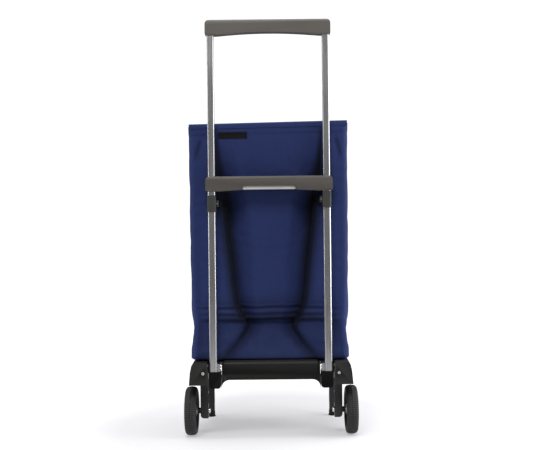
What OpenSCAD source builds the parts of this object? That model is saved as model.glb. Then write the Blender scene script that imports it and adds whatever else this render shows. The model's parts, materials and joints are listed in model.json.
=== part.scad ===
// Folding shopping trolley: a telescopic aluminium handle frame, a fabric bag, and a plastic
// base that folds up against the tubes, with wheels and front legs that fold in under it.
// Millimetres, +Z up, X across the trolley, +Y away from the person who pulls it.
// The origin is on the floor, under the middle of the trolley's outline.
// "left" is the -X side. Below, "y" values are counted from the plane of the two tubes.

/* [Handle frame] */
// Half the distance between the centres of the two tubes
tube_x = 145.5; // [140:0.5:150]
// Outside width of the square lower tubes
outer_tube_w = 19.2; // [19:0.1:20]
// Wall of the lower tubes
outer_tube_wall = 0.8; // [0.6:0.1:1]
// Outside width of the square tubes that slide inside them
inner_tube_w = 17.3; // [17:0.1:17.4]
// Wall of the sliding tubes
inner_tube_wall = 1.2; // [1:0.1:1.5]
// Height of the top of the grip above the floor
grip_top_z = 1061; // [1040:1:1080]
// How far the handle slides down from its highest place
handle_travel = 345; // [300:5:345]

/* [Grips] */
// Length of the top grip
grip_len = 317; // [310:1:330]
// Height of the top grip at its ends
grip_h = 40; // [36:1:44]
// Depth of the top grip, front to back
grip_d = 24; // [22:1:24]
// Length of the lower crossbar
bar_len = 321; // [321:1:330]
// Height of the underside of the lower crossbar at its ends
bar_z = 627.5; // [620:0.5:635]
// Height of the lower crossbar
bar_h = 38; // [36:1:40]
// Depth of the lower crossbar, front to back
bar_d = 28; // [27:1:28]
// Half the length of the release lever
lever_half = 66.5; // [60:0.5:68]
// How far the release lever is squeezed up
lever_travel = 5; // [3:1:5]
// How far each lock bar is drawn back by the lever
lock_travel = 3; // [2:0.5:3]

/* [Base] */
// Height of the top of the base, where the bag stands
base_top_z = 197.5; // [197.5:0.5:199]
// Height of the hinge that the base folds on
hinge_z = 190; // [189:0.5:191]
// Distance of that hinge in front of the tubes
hinge_y = 35; // [34:0.5:36]
// Distance of the side pivots from the middle
pivot_x = 171.5; // [171:0.5:172]
// Height of the side pivots
pivot_z = 169; // [168:0.5:169]
// Front end of the base in front of the tubes
base_front_y = 296; // [290:1:300]
// Half the length of the rear crossmember's upper part
cross_half = 118; // [116:0.5:118]

/* [Wheels and legs] */
// Outside diameter of the tyres
wheel_d = 125; // [120:1:125]
// Width of the tyres
wheel_w = 30; // [26:1:30]
// Distance of the wheels' middle planes from the middle of the trolley
wheel_x = 206.5; // [205:0.5:207]
// Distance of the wheel axles in front of the tubes
wheel_y = 55; // [55:1:58]
// Distance of the front legs' centres in front of the tubes
leg_y = 279; // [265:1:280]

/* [Bag] */
// Half the width of the bag at its top
bag_half_top = 202; // [195:1:204]
// Half the width of the bag at its fold, above the base
bag_half_fold = 195; // [190:1:198]
// Half the width of the bag at its bottom
bag_half_bottom = 198.5; // [192:0.5:200]
// Height of the bag's rim
bag_rim_z = 798; // [780:1:800]
// Thickness of the bag's padded walls
bag_wall = 3; // [2.5:0.5:4]
// How far the lid's front flap hangs down
flap_drop = 72; // [60:1:90]

/* [Hidden] */
$fn = 48;

// Where the tubes' plane stands in the row frame: the outline then runs evenly about y = 0
rod_nose_y = -13.5;
rod_head_y = base_front_y + 3;
y_tube = -(rod_nose_y + rod_head_y) / 2;

// Clearances
gap = 0.2;            // between faces that slide or pass each other
pin_gap = 0.05;       // radial, round a pin that turns or is pressed in

// Tubes
outer_tube_r = 5;
outer_bore_w = outer_tube_w - 2 * outer_tube_wall;
outer_bore_r = outer_tube_r - outer_tube_wall;
inner_tube_r = outer_bore_r - (outer_bore_w - inner_tube_w) / 2;
outer_tube_z0 = 134;
outer_tube_z1 = bar_z + 12.5;
inner_tube_z0 = 560;
inner_tube_z1 = grip_top_z - 11;

// Top grip
grip_z = grip_top_z - grip_h;
grip_screw_z = grip_top_z - 21;
screw_r = 2;
screw_head_r = 3.6;

// Lower crossbar and its lever
cavity_d = 22;
cavity_z0 = bar_z + 13.5;
cavity_z1 = bar_z + 30.5;
lever_z0 = bar_z + 4.5;
lever_z1 = bar_z + 17.5;
lock_z = bar_z + 20.5;
lock_pin_x = 86;
lock_pin_r = 1.5;
slot_w = 2 * lock_pin_r + 0.4;
window_half = 5;

// Tube feet and hinge lugs
foot_z0 = 131;
foot_z1 = 172;
foot_in = 19.5;       // inboard of the tube's centre
foot_out = 11;        // outboard of it
foot_d = 25;
lug_x0 = 128;
lug_x1 = tube_x - outer_tube_w / 2;
lug_eye_r = 7;
lug_rivet_z = [178, 186];
ear_x = 124.5;
hinge_pin_r = 3;

// Collars under the crossbar; the left one sits lower
collar_w = 22;
collar_d = 26;
collar_h = 42;
collar_r = 5;
stud_x = tube_x - collar_w / 2 - 3;
stud_y = 1;
stud_r = 1.2;
function collar_z0(side) = side < 0 ? 575.5 : 584.5;
function stud_z(side) = collar_z0(side) + collar_h / 2 + 0.5;

// Base
slot_y = hinge_y + 9; // the front edge of the gap that the tubes swing in
member_x = 161.5;
member_z0 = 139;
member_top = base_top_z - 2;
rod_r = 4;
rail_r = 9;
ring_r = 12.5;
rail_y0 = 4.5;
rail_y1 = base_front_y - 12.5;
plate_z = 182;        // lowest face of the deck and the members' top plates

// Wheel arms and legs
arm_d = 24;
arm_x0 = pivot_x - 8.5;
arm_x1 = pivot_x + 11.5;
arm_z0 = 44.5;
leg_d = 22;
axle_r = 5;
axle_z = wheel_d / 2;
stub_r = 7.5;
hub_x0 = wheel_x - 12;
hub_x1 = wheel_x + 9;
pad_h = 14;

// Bag: the back panel's outline from the bottom to the rim, as [y, z]
bag_z0 = base_top_z + 0.5;
fold_z = 305;
bag_back = [[14, bag_z0], [40, 250], [58, fold_z], [44, 500], [24, 700], [14.5, bag_rim_z]];
bag_front = [[286, bag_rim_z], [289, 480], [284, bag_z0]];
lid_hinge_y = 16.5;
lid_z0 = bag_rim_z + 1.5;
lid_t = 3.5;
lid_front_y = 291;
snap_x = 120;
snap_z = lid_z0 - flap_drop + 18;

// ---------------------------------------------------------------- helpers

module from_tubes() translate([0, y_tube, 0]) children();

// Mirrors a right-hand piece to the left where side is -1
module on_side(side) {
    if (side < 0) mirror([1, 0, 0]) children();
    else children();
}

// Extrudes a drawing of [x, z] from y0 to y1
module along_y(y0, y1) translate([0, y1, 0]) rotate([90, 0, 0]) linear_extrude(y1 - y0) children();

// Extrudes a drawing of [y, z] from x0 to x1
module along_x(x0, x1) translate([x0, 0, 0]) rotate([90, 0, 90]) linear_extrude(x1 - x0) children();

module rounded_rect(w, d, r) {
    square([w - 2 * r, d], center = true);
    square([w, d - 2 * r], center = true);
    for (sx = [-1, 1], sy = [-1, 1])
        translate([sx * (w / 2 - r), sy * (d / 2 - r)]) circle(r);
}

module box(x0, x1, y0, y1, z0, z1) translate([x0, y0, z0]) cube([x1 - x0, y1 - y0, z1 - z0]);

module rod_y(r, x, z, y0, y1) translate([x, y1, z]) rotate([90, 0, 0]) cylinder(r = r, h = y1 - y0);

module rod_x(r, y, z, x0, x1) translate([x0, y, z]) rotate([0, 90, 0]) cylinder(r = r, h = x1 - x0);

// A straight tube or a solid bar of rounded square section round one frame tube's axis
module square_bar(w, r, z0, z1) translate([tube_x, 0, z0]) linear_extrude(z1 - z0) rounded_rect(w, w, r);

// A round slot as a drawing, from one centre to the other
module slot_2d(from, to, w) {
    run = to - from;
    translate(from) rotate(atan2(run.y, run.x)) {
        circle(d = w);
        translate([norm(run), 0]) circle(d = w);
        translate([0, -w / 2]) square([norm(run), w]);
    }
}

// ---------------------------------------------------------------- tubes and feet

module outer_tube(side) color("silver") from_tubes() on_side(side) difference() {
    square_bar(outer_tube_w, outer_tube_r, outer_tube_z0, outer_tube_z1);
    square_bar(outer_bore_w, outer_bore_r, outer_tube_z0 - 1, outer_tube_z1 + 1);
    for (z = lug_rivet_z) rod_x(screw_r + pin_gap, 0, z, lug_x1 - 1, tube_x);
}

module inner_tube(side) color("silver") from_tubes() on_side(side) difference() {
    square_bar(inner_tube_w, inner_tube_r, inner_tube_z0, inner_tube_z1);
    square_bar(inner_tube_w - 2 * inner_tube_wall, inner_tube_r - inner_tube_wall,
               inner_tube_z0 - 1, inner_tube_z1 + 1);
    rod_y(screw_r + pin_gap, tube_x, grip_screw_z, 0, inner_tube_w);
}

// Plastic plugs in the lower ends of the sliding tubes, which keep them straight in the bores
module tube_guides() color("dimgray") from_tubes() for (side = [-1, 1]) on_side(side) {
    square_bar(inner_tube_w + 0.1, inner_tube_r, inner_tube_z0 - 12, inner_tube_z0);
    square_bar(inner_tube_w - 2 * inner_tube_wall - gap, inner_tube_r - inner_tube_wall,
               inner_tube_z0, inner_tube_z0 + 15);
}

module tube_foot(side) color("black") from_tubes() on_side(side) difference() {
    along_y(-foot_d / 2, foot_d / 2) translate([tube_x, 0]) foot_outline();
    square_bar(outer_tube_w, outer_tube_r, outer_tube_z0, foot_z1 + 1);
}

// The foot seen from behind, with its lower corners well rounded
module foot_outline() {
    corner = 8;
    translate([-foot_in, foot_z0 + corner]) square([foot_in + foot_out, foot_z1 - foot_z0 - corner]);
    translate([-foot_in + corner, foot_z0]) square([foot_in + foot_out - 2 * corner, corner]);
    translate([-foot_in + corner, foot_z0 + corner]) circle(corner);
    translate([foot_out - corner, foot_z0 + corner]) circle(corner);
}

// The metal lug on the inner face of the tube, which carries the hinge of the base
module hinge_lug(side) color("lightgray") from_tubes() on_side(side) difference() {
    along_x(lug_x0, lug_x1) {
        translate([-8, foot_z1 + 0.3]) square([17, hinge_z + 2 - foot_z1 - 0.3]);
        polygon([[8, hinge_z + 2], [8, foot_z1 + 3], [20, foot_z1 + 5],
                 [hinge_y, hinge_z - lug_eye_r], [hinge_y, hinge_z + lug_eye_r - 2]]);
        translate([hinge_y, hinge_z]) circle(lug_eye_r);
    }
    rod_x(hinge_pin_r + pin_gap, hinge_y, hinge_z, lug_x0 - 1, lug_x1 + 1);
    for (z = lug_rivet_z) rod_x(screw_r + pin_gap, 0, z, lug_x0 - 1, lug_x1 + 1);
}

// Two rivets a side hold the lugs to the tubes
module lug_rivets() color("gainsboro") from_tubes() for (side = [-1, 1], z = lug_rivet_z) on_side(side) {
    rod_x(screw_r, 0, z, lug_x0 - 0.1, lug_x1 + 4);
    rod_x(screw_head_r, 0, z, lug_x0 - 1.6, lug_x0);
}

module collar(side) color("dimgray") from_tubes() on_side(side) difference() {
    union() {
        translate([tube_x, 0, collar_z0(side)]) linear_extrude(collar_h)
            rounded_rect(collar_w, collar_d, collar_r);
        // inboard lug that the bag is fixed to
        box(stud_x - 3.5, tube_x - collar_w / 2 + collar_r, stud_y - 3, stud_y + 3,
            stud_z(side) - 8, stud_z(side) + 8);
    }
    square_bar(outer_tube_w, outer_tube_r, collar_z0(side) - 1, collar_z0(side) + collar_h + 1);
    rod_y(stud_r + pin_gap, stud_x, stud_z(side), stud_y - 4, stud_y + 4);
}

// Round-headed studs that hold the bag's tabs to the collars
module collar_studs() color("white") from_tubes() for (side = [-1, 1]) on_side(side) {
    rod_y(stud_r, stud_x, stud_z(side), stud_y - 3.1, stud_y + 6.5);
    rod_y(1.9, stud_x, stud_z(side), stud_y - 4.2, stud_y - 3);
}

// ---------------------------------------------------------------- lower crossbar

// A straight grip with rounded ends and edges and an arched underside.
// The section is rounded below the underside too, so the lower edges are softened and not fully round.
module grip_block(len, depth, z0, height, arch, arch_half) {
    top_r = 12;
    low_r = 5;
    sink = 2;
    arch_r = (arch_half * arch_half + arch * arch) / (2 * arch);
    intersection() {
        along_y(-depth / 2, depth / 2) difference() {
            translate([0, z0]) {
                translate([-len / 2, low_r]) square([len, height - low_r - top_r]);
                translate([top_r - len / 2, height - top_r - 1]) square([len - 2 * top_r, top_r + 1]);
                translate([low_r - len / 2, 0]) square([len - 2 * low_r, low_r + 1]);
                for (s = [-1, 1]) {
                    translate([s * (len / 2 - top_r), height - top_r]) circle(top_r);
                    translate([s * (len / 2 - low_r), low_r]) circle(low_r);
                }
            }
            translate([0, z0 + arch - arch_r]) circle(arch_r, $fn = 720);
        }
        along_x(-len / 2 - 1, len / 2 + 1) translate([0, z0 + (height - sink) / 2])
            rounded_rect(depth, height + sink, 7);
    }
}

module crossbar_solid() difference() {
    grip_block(bar_len, bar_d, bar_z, bar_h, 5, 125);
    // sockets of the lower tubes and the narrower passages of the sliding ones
    for (side = [-1, 1]) on_side(side) {
        square_bar(outer_tube_w, outer_tube_r, bar_z - 1, outer_tube_z1);
        square_bar(inner_tube_w + 2 * gap, inner_tube_r, bar_z, bar_z + bar_h + 1);
        // cavity of the lock bar, and the window that its shoe passes through
        box(90, tube_x - outer_tube_w / 2 - 2, -cavity_d / 2, cavity_d / 2, cavity_z0, cavity_z1);
        box(90, tube_x, -window_half, window_half, lock_z - window_half, lock_z + window_half);
    }
    box(-95, 95, -cavity_d / 2, cavity_d / 2, bar_z + 8.5, cavity_z1);
    // slot that the lever fills, and the opening that shows it from behind
    box(-lever_half - 2, lever_half + 2, -cavity_d / 2, cavity_d / 2 - 2, bar_z - 1, cavity_z1);
    along_y(-bar_d / 2 - 1, 0) paddle_opening();
    // screws from the front: two under the cavity, two over it
    for (p = crossbar_screw_places()) {
        rod_y(1.6 + pin_gap, p.x, p.y, -9, bar_d / 2 + 1);
        rod_y(3, p.x, p.y, bar_d / 2 - 2.5, bar_d / 2 + 1);
    }
}

// Opening in the rear face that shows the lever, with slanted upper corners
module paddle_opening() {
    half = lever_half + 0.6;
    top = bar_z + 12.5;
    polygon([[-half, bar_z - 1], [half, bar_z - 1], [half, top - 5], [half - 1.5, top - 2], [half - 6, top],
             [6 - half, top], [1.5 - half, top - 2], [-half, top - 5]]);
}

function crossbar_screw_places() = [for (s = [-1, 1]) each [[s * 108, bar_z + 8], [s * 50, bar_z + 33.6]]];

module crossbar_half(sign) intersection() {
    crossbar_solid();
    box(-bar_len, bar_len, min(0, sign * bar_d), max(0, sign * bar_d), bar_z - 5, bar_z + bar_h + 5);
}

module crossbar_rear_shell() color([0.29, 0.27, 0.26]) from_tubes() crossbar_half(-1);

module crossbar_front_shell() color([0.27, 0.25, 0.24]) from_tubes() crossbar_half(1);

module crossbar_screws() color("gray") from_tubes() for (p = crossbar_screw_places()) {
    rod_y(1.6, p.x, p.y, -8.5, bar_d / 2 - 2.4);
    rod_y(2.9, p.x, p.y, bar_d / 2 - 2.4, bar_d / 2 - 0.4);
}

// The paddle under the crossbar; an arm at each end has the slanted slot of a lock bar's pin
module release_lever() color([0.68, 0.67, 0.66]) from_tubes() difference() {
    union() {
        along_y(-cavity_d / 2 + 0.3, cavity_d / 2 - 2.5) translate([0, (lever_z0 + lever_z1) / 2])
            rounded_rect(2 * lever_half, lever_z1 - lever_z0, 1.2);
        for (s = [-1, 1]) on_side(s) box(lever_half - 8, 92, -4.2, -gap, bar_z + 9.5, lock_z + 4);
    }
    for (s = [-1, 1]) along_y(-5, 0)
        slot_2d([s * lock_pin_x, lock_z], [s * (lock_pin_x - lock_travel), lock_z - lever_travel], slot_w);
}

// A flat bar with a pin that the lever draws back and a shoe that bears on the sliding tube
module lock_bar(side) color("darkgray") from_tubes() on_side(side) {
    box(lock_pin_x - 5, tube_x - inner_tube_w / 2 - 6, gap, 4.2, lock_z - 4, lock_z + 4);
    rod_y(lock_pin_r, lock_pin_x, lock_z, -5.5, 1);
    box(tube_x - inner_tube_w / 2 - 6, tube_x - inner_tube_w / 2 - 0.15, -4.5, 4.5,
        lock_z - 4.5, lock_z + 4.5);
}

spring_r = 4;
spring_wire = 0.6;
spring_turns = 5;
spring_steps = 12;
spring_sides = 6;

// Centre line of the spring's wire after a share t of its length
function spring_point(t) = [spring_r * cos(360 * spring_turns * t), spring_r * sin(360 * spring_turns * t),
    lever_z1 + spring_wire + t * (cavity_z1 - lever_z1 - 2 * spring_wire)];

function spring_ring(t) = let (c = spring_point(t), a = 360 * spring_turns * t)
    [for (i = [0:spring_sides - 1]) let (b = 360 * i / spring_sides)
        c + spring_wire * [cos(b) * cos(a), cos(b) * sin(a), sin(b)]];

module helical_spring() {
    rings = spring_turns * spring_steps;
    n = spring_sides;
    points = [for (k = [0:rings]) each spring_ring(k / rings)];
    polyhedron(points, [
        [for (i = [0:n - 1]) i],
        for (k = [0:rings - 1], i = [0:n - 1])
            [k * n + i, (k + 1) * n + i, (k + 1) * n + (i + 1) % n, k * n + (i + 1) % n],
        [for (i = [n - 1:-1:0]) rings * n + i]]);
}

module lever_springs() color("white") from_tubes()
    for (s = [-1, 1]) translate([s * 35, -1, 0]) helical_spring();

// ---------------------------------------------------------------- top grip

module top_grip() color([0.34, 0.32, 0.31]) from_tubes() difference() {
    grip_block(grip_len, grip_d, grip_z, grip_h, 7, 130);
    for (side = [-1, 1]) on_side(side) {
        square_bar(inner_tube_w, inner_tube_r, grip_z - 1, inner_tube_z1);
        rod_y(screw_r + pin_gap, tube_x, grip_screw_z, 0, grip_d);
        rod_y(screw_head_r + 0.2, tube_x, grip_screw_z, grip_d / 2 - 2.4, grip_d);
    }
}

module grip_screws() color("gray") from_tubes() for (side = [-1, 1]) on_side(side) {
    rod_y(screw_r, tube_x, grip_screw_z, 3, grip_d / 2 - 2.3);
    rod_y(screw_head_r, tube_x, grip_screw_z, grip_d / 2 - 2.3, grip_d / 2 - 0.3);
}

// ---------------------------------------------------------------- base

// The rear panel's outline: a flat lower edge that flares down beside the tube feet
module crossmember_outline() {
    flare_r = 20;
    wing_x = tube_x - foot_in - 0.7;
    flat_half = wing_x - flare_r - 0.6;
    edge_z = 151.5;
    difference() {
        union() {
            translate([-cross_half, edge_z]) square([2 * cross_half, base_top_z - 8 - edge_z]);
            translate([-wing_x, edge_z - flare_r]) square([2 * wing_x, flare_r + 13.5]);
        }
        translate([-flat_half, edge_z - 2 * flare_r]) square([2 * flat_half, 2 * flare_r]);
        for (s = [-1, 1]) translate([s * flat_half, edge_z - flare_r]) circle(flare_r);
    }
}

module rear_crossmember() color([0.13, 0.13, 0.12]) from_tubes() difference() {
    union() {
        along_y(-6, -2) crossmember_outline();
        // rounded upper edge and top plate
        along_x(-cross_half, cross_half) {
            translate([2, base_top_z - 8]) difference() {
                circle(8);
                circle(4);
                translate([0, -9]) square([9, 18]);
                translate([-9, -9]) square([18, 9]);
            }
            translate([2, base_top_z - 4]) square([slot_y - 2, 4]);
            translate([slot_y - 4, plate_z]) square([4, base_top_z - plate_z]);
        }
        for (s = [-1, 1]) on_side(s) {
            box(cross_half - 1, ear_x, -3, slot_y - 3, 152.5, base_top_z - 2);
            rod_x(7, hinge_y, hinge_z, cross_half - 6, ear_x);
        }
        // stiffening ribs behind the panel
        for (x = [-60, 0, 60]) box(x - 1.5, x + 1.5, -3, slot_y - 3, 178, base_top_z - 2);
    }
    for (s = [-1, 1]) on_side(s) {
        rod_x(hinge_pin_r + pin_gap, hinge_y, hinge_z, cross_half - 7, ear_x + 1);
        // room for the pin's head under the top plate
        rod_x(5.3, hinge_y, hinge_z, cross_half - 9, cross_half - 6);
    }
    for (x = deck_screw_x) rod_y(screw_r + pin_gap, x, deck_screw_z, slot_y - 5, slot_y + 1);
}

deck_screw_x = [-90, -30, 30, 90];
deck_screw_z = plate_z + 7;
member_screw_y = [70, 160, 250];
member_screw_z = plate_z + 5.5;

// The ribbed panel under the bag
module deck_panel() color([0.11, 0.11, 0.11]) from_tubes() difference() {
    union() {
        difference() {
            box(-member_x, member_x, slot_y, base_front_y - 4, plate_z, base_top_z);
            box(-member_x + 4, member_x - 4, slot_y + 4, base_front_y - 8, plate_z - 1, base_top_z - 4);
        }
        for (x = [-120, -72, -24, 24, 72, 120])
            box(x - 1.5, x + 1.5, slot_y + 3, base_front_y - 7, plate_z + 3, base_top_z - 3);
        for (y = [100, 150, 200, 245])
            box(-member_x + 3, member_x - 3, y - 1.5, y + 1.5, plate_z + 3, base_top_z - 3);
    }
    for (x = deck_screw_x) rod_y(screw_r + pin_gap, x, deck_screw_z, slot_y - 1, slot_y + 5);
    for (s = [-1, 1], y = member_screw_y)
        on_side(s) rod_x(screw_r + pin_gap, y, member_screw_z, member_x - 5, member_x + 1);
}

// Outer outline of a side member seen from behind; it leans out over the wheel
function member_outer() = [[207.5, member_z0], [204.5, 172], [201, 188], [196.5, member_top]];

module member_outline(low_z) intersection() {
    polygon(concat([[member_x, member_z0]], member_outer(), [[member_x, member_top]]));
    translate([member_x, low_z]) square([60, member_top - low_z]);
}

// One side of the base: top plate, wheel guard, and the two walls that hold the pivot rod
module side_member(side) color([0.14, 0.14, 0.14]) from_tubes() on_side(side) difference() {
    union() {
        along_y(-12, -8) member_outline(member_z0);
        along_y(-9, 122) difference() {
            member_outline(member_z0);
            translate([-3.5, -4]) member_outline(member_z0);
            translate([member_x - 1, member_z0 - 10]) square([36, member_top - member_z0 + 6]);
        }
        along_y(121, base_front_y - 4) difference() {
            member_outline(172);
            translate([-3.5, -4]) member_outline(member_z0);
            translate([member_x - 1, member_z0 - 10]) square([30, member_top - member_z0 + 6]);
        }
        box(member_x, 196, -9, base_front_y - 3, member_top - 4, member_top);
        box(member_x, member_x + 4, -9, base_front_y - 3, plate_z, member_top - 2);
        // rear and front bosses of the pivot rod, each with a web up to the top plate
        for (y = [[-9, rail_y0 - 0.5], [rail_y1 + 0.5, base_front_y - 3]]) {
            rod_y(11, pivot_x, pivot_z, y[0], y[1]);
            box(pivot_x - 5, pivot_x + 5, y[0], y[1], pivot_z, member_top - 2);
        }
        along_y(base_front_y - 4, base_front_y) member_outline(156);
    }
    rod_y(rod_r + pin_gap, pivot_x, pivot_z, -13, base_front_y + 1);
    for (y = member_screw_y) rod_x(screw_r + pin_gap, y, member_screw_z, member_x - 1, member_x + 5);
}

module base_screws() color("gray") from_tubes() {
    for (x = deck_screw_x) {
        rod_y(screw_r, x, deck_screw_z, slot_y - 4, slot_y + 8);
        rod_y(screw_head_r, x, deck_screw_z, slot_y - 6, slot_y - 4);
    }
    for (s = [-1, 1], y = member_screw_y) on_side(s) {
        rod_x(screw_r, y, member_screw_z, member_x - 8, member_x + 4);
        rod_x(screw_head_r, y, member_screw_z, member_x + 4, member_x + 6);
    }
}

// Pins of the base hinge, through the crossmember's bosses and the lugs
module hinge_pins() color("gainsboro") from_tubes() for (side = [-1, 1]) on_side(side) {
    rod_x(hinge_pin_r, hinge_y, hinge_z, cross_half - 8, lug_x1 + 0.6);
    rod_x(5, hinge_y, hinge_z, lug_x1 + 0.5, lug_x1 + 2.5);
    rod_x(5, hinge_y, hinge_z, cross_half - 8, cross_half - 6.1);
}

// Steel rod that a side rail turns on
module pivot_rod(side) color("white") from_tubes() on_side(side) {
    rod_y(rod_r, pivot_x, pivot_z, -12.3, base_front_y + 0.5);
    rod_y(rod_r - 0.7, pivot_x, pivot_z, rod_nose_y, -12);
    rod_y(7, pivot_x, pivot_z, base_front_y, rod_head_y);
}

// ---------------------------------------------------------------- folding sides

// Tube that joins a wheel arm to the front leg and turns on the pivot rod
module side_rail(side) color("dimgray") from_tubes() on_side(side) difference() {
    rod_y(rail_r, pivot_x, pivot_z, rail_y0, rail_y1);
    rod_y(rod_r + pin_gap, pivot_x, pivot_z, rail_y0 - 1, rail_y1 + 1);
}

// A leg as seen from behind: a round head on the rail and a straight shank
module shank_outline(z0, corner) {
    translate([pivot_x, pivot_z]) circle(ring_r);
    translate([arm_x0, z0 + corner]) square([arm_x1 - arm_x0, pivot_z - z0 - corner]);
    translate([arm_x0, z0]) square([arm_x1 - arm_x0 - corner, corner + 1]);
    translate([arm_x1 - corner, z0 + corner]) circle(corner);
}

// Hole and counterbore of the screw that fixes a leg's head to the rail
module screw_seat(y) {
    rod_x(screw_r + pin_gap, y, pivot_z, pivot_x - ring_r - 2, pivot_x);
    rod_x(screw_head_r + gap, y, pivot_z, pivot_x - ring_r - 2, pivot_x - ring_r + 1);
}

module wheel_arm(side) color([0.12, 0.12, 0.12]) from_tubes() on_side(side) difference() {
    union() {
        along_y(wheel_y - arm_d / 2, wheel_y + arm_d / 2) shank_outline(arm_z0, 9);
        rod_x(stub_r, wheel_y, axle_z, arm_x1 - 1, wheel_x - wheel_w / 2 - 0.4);
    }
    rod_y(rail_r + pin_gap, pivot_x, pivot_z, wheel_y - arm_d, wheel_y + arm_d);
    rod_x(axle_r + pin_gap, wheel_y, axle_z, arm_x0 - 1, wheel_x);
    // hollow of the moulding, open towards the middle of the trolley
    for (z = [[80, 108], [112, 144]])
        box(arm_x0 - 1, arm_x1 - 4, wheel_y - arm_d / 2 + 3, wheel_y + arm_d / 2 - 3, z[0], z[1]);
    screw_seat(wheel_y);
}

module front_leg(side) color([0.12, 0.12, 0.12]) from_tubes() on_side(side) difference() {
    along_y(leg_y - leg_d / 2 - 2, leg_y + leg_d / 2 - 7) shank_outline(pad_h - 6, 2);
    rod_y(rail_r + pin_gap, pivot_x, pivot_z, leg_y - leg_d, leg_y + leg_d);
    for (z = [[36, 84], [88, 140]])
        box(arm_x0 - 1, arm_x1 - 4, leg_y - leg_d / 2 + 1, leg_y + leg_d / 2 - 10, z[0], z[1]);
    // shoulder over the rubber foot
    difference() {
        box(arm_x0 - 2, arm_x1 + 2, leg_y - leg_d, leg_y + leg_d, 0, pad_h);
        box(arm_x0 + 3, arm_x1 - 3, leg_y - leg_d / 2 + 1, leg_y + leg_d / 2 - 10, 0, pad_h + 1);
    }
    screw_seat(leg_y - 4.5);
}

// Rubber foot: a cup under the end of the front leg
module foot_pad(side) color([0.07, 0.07, 0.07]) from_tubes() on_side(side) difference() {
    translate([(arm_x0 + arm_x1) / 2, leg_y - 4.5, 0]) {
        cylinder(r1 = 12, r2 = 13.5, h = 2);
        translate([0, 0, 2]) linear_extrude(pad_h - 2) rounded_rect(22, 21, 5);
    }
    box(arm_x0 + 3, arm_x1 - 3, leg_y - leg_d / 2 + 1, leg_y + leg_d / 2 - 10, pad_h - 6, pad_h + 1);
}

// Screws that fix the arm and the leg to the rail
module leg_screws(side) color("gray") from_tubes() on_side(side) for (y = [wheel_y, leg_y - 4.5]) {
    rod_x(screw_r, y, pivot_z, pivot_x - ring_r, pivot_x - rail_r - 0.1);
    rod_x(screw_head_r, y, pivot_z, pivot_x - ring_r - 0.6, pivot_x - ring_r + 0.9);
}

// Steel axle with a head inside the arm and a round end that keeps the wheel on
module axle(side) color("gainsboro") from_tubes() on_side(side) {
    rod_x(6.5, wheel_y, axle_z, arm_x0 - 4.5, arm_x0);
    rod_x(axle_r, wheel_y, axle_z, arm_x0 - 1, hub_x1 + 1);
    rod_x(7.5, wheel_y, axle_z, hub_x1 + 0.4, hub_x1 + 2.4);
}

// ---------------------------------------------------------------- wheels

module at_wheel() translate([wheel_x, wheel_y, axle_z]) rotate([0, 90, 0]) children();

module wheel_bush(side) color("tan") from_tubes() on_side(side) difference() {
    rod_x(8, wheel_y, axle_z, wheel_x - wheel_w / 2 + 0.2, hub_x1);
    rod_x(axle_r + pin_gap, wheel_y, axle_z, wheel_x - wheel_w / 2 - 1, hub_x1 + 1);
}

// Moulded wheel centre: a bead that carries the tyre, a web, six spokes and a hub
module wheel_rim(side) color([0.16, 0.16, 0.16]) from_tubes() on_side(side) difference() {
    at_wheel() {
        difference() {
            cylinder(r = 44, h = 20, center = true);
            cylinder(r = 39, h = 21, center = true);
        }
        cylinder(r = 40, h = 3, center = true);
        for (a = [0:60:300]) rotate(a) translate([12, -4, -7]) cube([28, 8, 14]);
        translate([0, 0, hub_x0 - wheel_x]) cylinder(r = 14, h = hub_x1 - hub_x0);
    }
    rod_x(8, wheel_y, axle_z, hub_x0 - 2, hub_x1 + 1);
    at_wheel() for (a = [30:60:330]) rotate(a) translate([27, 0, 0]) cylinder(r = 5, h = 8, center = true);
}

// Solid rubber tyre with a rounded tread and a fine ridge round its middle
module tyre(side) color([0.1, 0.1, 0.1]) from_tubes() on_side(side) at_wheel() rotate_extrude($fn = 96) {
    translate([52.95, 0]) rounded_rect(17.9, wheel_w, 8.9);
    translate([50, -1]) square([wheel_d / 2 - 50, 2]);
}

module hub_cap(side) color([0.2, 0.2, 0.2]) from_tubes() on_side(side) difference() {
    rod_x(13, wheel_y, axle_z, hub_x1, hub_x1 + 5.5);
    rod_x(11, wheel_y, axle_z, hub_x1 - 1, hub_x1 + 3.5);
}

// ---------------------------------------------------------------- bag

// Half-width outline of the bag seen from behind, closed about the middle
module bag_face(inset) {
    half = [[bag_half_bottom, bag_z0], [bag_half_fold, fold_z], [bag_half_top - 2.5, 500],
            [bag_half_top, bag_rim_z]];
    polygon(concat([for (p = half) [p.x - inset, p.y + (p.y == bag_z0 ? inset : 0)]],
                   [for (i = [3:-1:0]) [inset - half[i].x, half[i].y + (i == 0 ? inset : 0)]]));
}

// Outline of the bag seen from its side
module bag_profile(inset) polygon(concat(
    [for (p = bag_back) [p.x + inset, p.y + (p.y == bag_z0 ? inset : 0)]],
    [for (p = bag_front) [p.x - inset, p.y + (p.y == bag_z0 ? inset : 0)]]));

module bag_form(inset) intersection() {
    along_x(-250, 250) bag_profile(inset);
    along_y(0, 320) bag_face(inset);
}

// A soft bag with a back that hangs in between the tubes, open at the rim
module bag_body() color([0.11, 0.14, 0.33]) from_tubes() difference() {
    bag_form(0);
    bag_form(bag_wall);
    box(bag_wall - bag_half_top, bag_half_top - bag_wall, bag_back[5].x + bag_wall,
        bag_front[0].x - bag_wall, bag_rim_z - 0.1, bag_rim_z + 5);
}

module bag_lid() color([0.12, 0.16, 0.37]) from_tubes() {
    box(-bag_half_top + 1, bag_half_top - 1, lid_hinge_y, lid_front_y, lid_z0, lid_z0 + lid_t);
    box(-bag_half_top + 1, bag_half_top - 1, lid_front_y - 3, lid_front_y, lid_z0 - flap_drop, lid_z0 + 1);
}

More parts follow.
